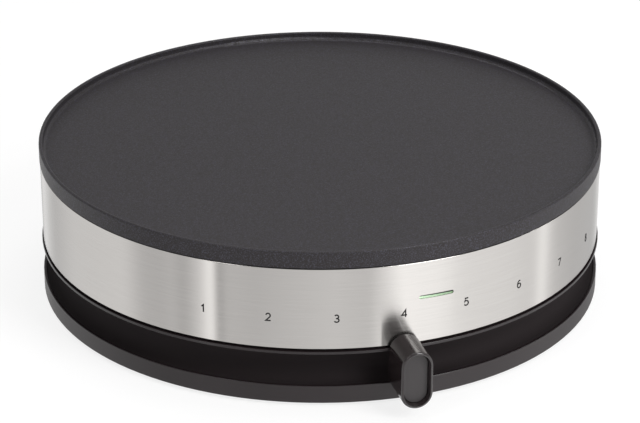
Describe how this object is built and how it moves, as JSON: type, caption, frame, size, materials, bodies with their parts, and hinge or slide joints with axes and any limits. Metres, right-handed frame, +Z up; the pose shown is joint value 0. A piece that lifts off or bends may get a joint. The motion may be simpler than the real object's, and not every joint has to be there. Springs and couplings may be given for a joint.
{
  "type": "electric crepe maker",
  "caption": "Round electric crepe maker: dished baking plate on a steel-sleeved body, recessed base, and a lever in front that sets the heat.",
  "frame": {"origin": "on the plate's vertical axis, at the plane that the feet stand on", "axes": "+Z up along the plate's axis, -Y to the front where the indicator light is, +X to the right"},
  "size_m": [0.3316, 0.3552, 0.0932],
  "materials": {
    "coated_aluminium": "non-stick coat, fine satin",
    "brushed_band": "brushed round the body",
    "black_plastic": "satin moulded",
    "dark_plastic": "matte moulded",
    "knob_plastic": "satin moulded",
    "face_plastic": "fine satin",
    "zinc_steel": "zinc plated",
    "bright_steel": "bright",
    "element_steel": "heat tinted",
    "reflector_steel": "aluminised",
    "brass_metal": "plain",
    "steatite": "unglazed",
    "green_lens": "translucent green",
    "lamp_glass": "clear",
    "white_plastic": "moulded",
    "rubber_black": "matte",
    "brown_wire": "silicone sleeve",
    "blue_wire": "silicone sleeve",
    "white_wire": "silicone sleeve",
    "earth_wire": "green and yellow sleeve"
  },
  "bodies": {
    "housing": {"base_ring": "black_plastic", "block_screws": "zinc_steel", "bottom_cover": "dark_plastic", "clip_screws": "zinc_steel", "cord_gland": "rubber_black", "earth_lead": "earth_wire", "earth_tag": "brass_metal", "element_clip_1": "zinc_steel", "element_clip_2": "zinc_steel", "element_clip_3": "zinc_steel", "element_clip_4": "zinc_steel", "element_pins": "bright_steel", "foot_1": "rubber_black", "foot_2": "rubber_black", "foot_3": "rubber_black", "foot_4": "rubber_black", "fuse_clip": "zinc_steel", "griddle_plate": "coated_aluminium", "heat_reflector": "reflector_steel", "heating_element": "element_steel", "housing_screws": "zinc_steel", "indicator_lamp": "lamp_glass", "indicator_lens": "green_lens", "lamp_holder": "white_plastic", "lamp_holder_screws": "zinc_steel", "lamp_lead_1": "white_wire", "lamp_lead_2": "white_wire", "live_lead": "brown_wire", "neutral_lead": "blue_wire", "plate_screws": "zinc_steel", "plate_spacer_1": "steatite", "plate_spacer_2": "steatite", "plate_spacer_3": "steatite", "plate_spacer_4": "steatite", "reflector_screws": "zinc_steel", "spade_connectors": "brass_metal", "spindle_bush": "brass_metal", "steel_band": "brushed_band", "supply_lead": "brown_wire", "switched_lead": "white_wire", "terminal_block": "white_plastic", "thermal_fuse": "bright_steel", "thermostat_body": "steatite", "thermostat_bracket": "zinc_steel", "thermostat_bush": "brass_metal", "thermostat_screws": "zinc_steel", "thermostat_tabs": "brass_metal", "upper_housing": "black_plastic"},
    "control_lever": {"thermostat_spindle": "bright_steel", "arm_hub": "brass_metal", "hub_screw": "zinc_steel", "lever_arm": "zinc_steel", "arm_screws": "zinc_steel", "lever_knob": "knob_plastic", "lever_face": "face_plastic", "knob_screw": "zinc_steel"}
  },
  "joints": [
    {"name": "heat_control", "type": "hinge", "parent": "housing", "child": "control_lever", "pos_m": [0, 0, 0.0273], "axis": [0, 0, 1], "range_deg": [-38.7, 51.6]}
  ]
}
